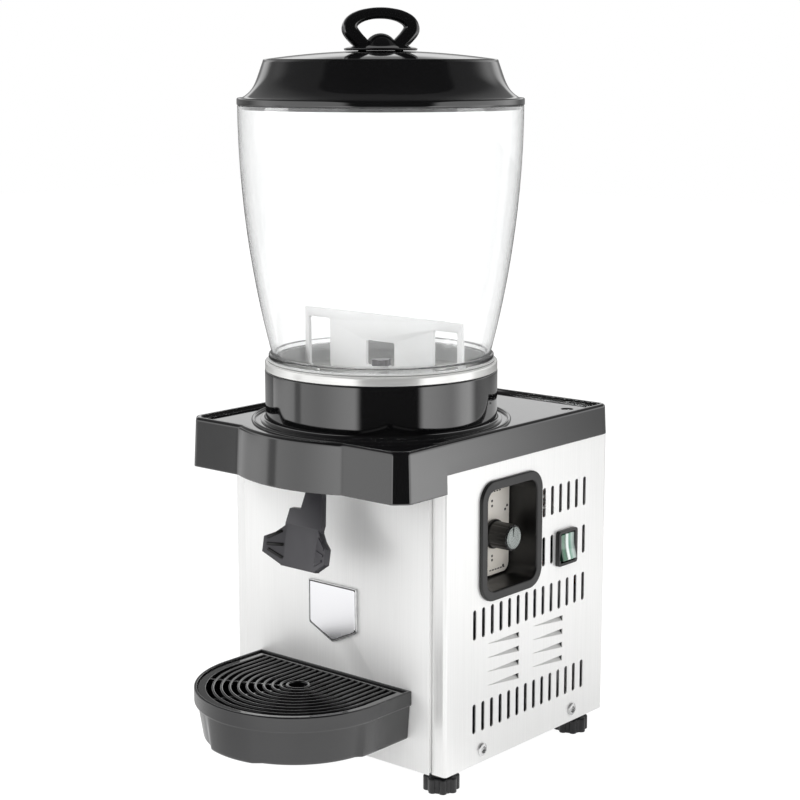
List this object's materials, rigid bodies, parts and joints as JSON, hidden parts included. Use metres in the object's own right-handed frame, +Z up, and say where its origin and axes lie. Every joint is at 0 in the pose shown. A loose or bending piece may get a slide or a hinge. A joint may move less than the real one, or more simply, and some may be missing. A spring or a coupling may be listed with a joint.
{
  "type": "refrigerated drink dispenser",
  "caption": "Counter-top refrigerated drink dispenser with a clear tapered bowl, domed lid with loop handle, push-lever tap, drip tray and vented steel cabinet.",
  "frame": {"origin": "on the counter under the middle of the object's box", "axes": "+Z up, the tap and tray face -Y, the control side faces +X"},
  "size_m": [0.2476, 0.367, 0.6481],
  "materials": {
    "stainless_steel": "brushed sheet",
    "galvanised_steel": "zinc-coated sheet",
    "black_gloss_plastic": "moulded gloss black",
    "grey_plastic": "moulded satin dark grey",
    "white_plastic": "moulded white",
    "silver_plastic": "silver-grey moulding",
    "clear_polycarbonate": "clear moulded",
    "seal_rubber": "food-grade seal",
    "black_rubber": "moulded black",
    "insulating_foam": "rigid foam",
    "copper": "drawn copper tube",
    "black_painted_steel": "black stove enamel",
    "bright_steel": "turned bright steel",
    "fin_aluminium": "rolled fins",
    "green_lens": "translucent green",
    "magnet_ferrite": "sintered ferrite",
    "white_wire": "insulated lead"
  },
  "bodies": {
    "cabinet": {"base_plate": "galvanised_steel", "front_panel": "stainless_steel", "left_side_panel": "stainless_steel", "right_side_panel": "stainless_steel", "rear_panel": "stainless_steel", "top_deck": "galvanised_steel", "top_cover": "black_gloss_plastic", "bowl_collar": "black_gloss_plastic", "evaporator_cup": "stainless_steel", "insulation_block": "insulating_foam", "evaporator_coil": "copper", "stirrer_spindle": "bright_steel", "spindle_nut": "grey_plastic", "stirrer_motor": "black_painted_steel", "control_box": "black_gloss_plastic", "dial_plate": "white_plastic", "thermostat_body": "galvanised_steel", "switch_housing": "grey_plastic", "switch_leads": "white_wire", "compressor": "black_painted_steel", "compressor_grommets": "black_rubber", "relay_cover": "grey_plastic", "condenser": "fin_aluminium", "fan_shroud": "grey_plastic", "fan_motor": "black_painted_steel", "filter_drier": "copper", "discharge_line": "copper", "liquid_line": "copper", "capillary_tube": "copper", "suction_line": "copper", "cable_gland": "black_rubber", "lever_pin": "bright_steel", "tap_bracket": "galvanised_steel", "tap_spout": "grey_plastic", "lever_spring": "bright_steel", "side_panel_screws": "bright_steel", "cover_screws": "bright_steel", "rear_panel_screws": "bright_steel"},
    "bowl": {"bowl": "clear_polycarbonate", "bowl_gasket": "seal_rubber"},
    "lid": {"lid": "black_gloss_plastic", "lid_handle": "black_gloss_plastic"},
    "stirrer": {"stirrer_paddle": "white_plastic", "paddle_magnet": "magnet_ferrite"},
    "drive": {"drive_magnet": "magnet_ferrite", "motor_shaft": "bright_steel"},
    "fan": {"fan_blade": "fin_aluminium"},
    "lever": {"tap_lever": "grey_plastic"},
    "valve": {"valve_plunger": "white_plastic"},
    "knob": {"thermostat_knob": "black_gloss_plastic", "knob_cap": "silver_plastic", "thermostat_shaft": "bright_steel"},
    "rocker": {"rocker_button": "green_lens"},
    "tray": {"drip_tray": "black_gloss_plastic"},
    "grate": {"drip_grate": "grey_plastic"},
    "foot_a": {"foot_front_left": "black_rubber"},
    "foot_b": {"foot_front_right": "black_rubber"},
    "foot_c": {"foot_rear_left": "black_rubber"},
    "foot_d": {"foot_rear_right": "black_rubber"}
  },
  "joints": [
    {"name": "bowl_lift", "type": "slide", "parent": "cabinet", "child": "bowl", "axis": [0, 0, 1], "range_m": [0, 0.08]},
    {"name": "lid_lift", "type": "slide", "parent": "bowl", "child": "lid", "axis": [0, 0, 1], "range_m": [0, 0.06]},
    {"name": "drive_spin", "type": "hinge", "parent": "cabinet", "child": "drive", "pos_m": [0, 0.011, 0.29], "axis": [0, 0, 1], "continuous": true},
    {"name": "stirrer_spin", "type": "hinge", "parent": "cabinet", "child": "stirrer", "pos_m": [0, 0.011, 0.33], "axis": [0, 0, 1], "continuous": true},
    {"name": "fan_spin", "type": "hinge", "parent": "cabinet", "child": "fan", "pos_m": [0.06, 0.044, 0.088], "axis": [1, 0, 0], "continuous": true},
    {"name": "tap_push", "type": "hinge", "parent": "cabinet", "child": "lever", "pos_m": [0, -0.078, 0.267], "axis": [1, 0, 0], "range_deg": [0, 12], "stiffness_Nm_per_rad": 0.8, "springref_deg": -14.32},
    {"name": "valve_lift", "type": "slide", "parent": "cabinet", "child": "valve", "axis": [0, 0, 1], "range_m": [0, 0.0034]},
    {"name": "knob_turn", "type": "hinge", "parent": "cabinet", "child": "knob", "pos_m": [0.105, 0.046, 0.206], "axis": [1, 0, 0], "range_deg": [0, 300]},
    {"name": "rocker_press", "type": "hinge", "parent": "cabinet", "child": "rocker", "pos_m": [0.119, 0.118, 0.1844], "axis": [0, 1, 0], "range_deg": [0, 16]},
    {"name": "tray_lift", "type": "slide", "parent": "cabinet", "child": "tray", "axis": [0, 0, 1], "range_m": [0, 0.0125]},
    {"name": "grate_lift", "type": "slide", "parent": "tray", "child": "grate", "axis": [0, 0, 1], "range_m": [0, 0.03]},
    {"name": "foot_a_turn", "type": "hinge", "parent": "cabinet", "child": "foot_a", "pos_m": [-0.1, -0.028, 0.01], "axis": [0, 0, 1], "range_deg": [-180, 180]},
    {"name": "foot_b_turn", "type": "hinge", "parent": "cabinet", "child": "foot_b", "pos_m": [0.1, -0.028, 0.01], "axis": [0, 0, 1], "range_deg": [-180, 180]},
    {"name": "foot_c_turn", "type": "hinge", "parent": "cabinet", "child": "foot_c", "pos_m": [-0.1, 0.16, 0.01], "axis": [0, 0, 1], "range_deg": [-180, 180]},
    {"name": "foot_d_turn", "type": "hinge", "parent": "cabinet", "child": "foot_d", "pos_m": [0.1, 0.16, 0.01], "axis": [0, 0, 1], "range_deg": [-180, 180]}
  ],
  "couplings": [
    {"joint": "stirrer_spin", "follows": "drive_spin", "ratio": 1},
    {"joint": "valve_lift", "follows": "tap_push", "m_per_rad": 0.0162}
  ]
}
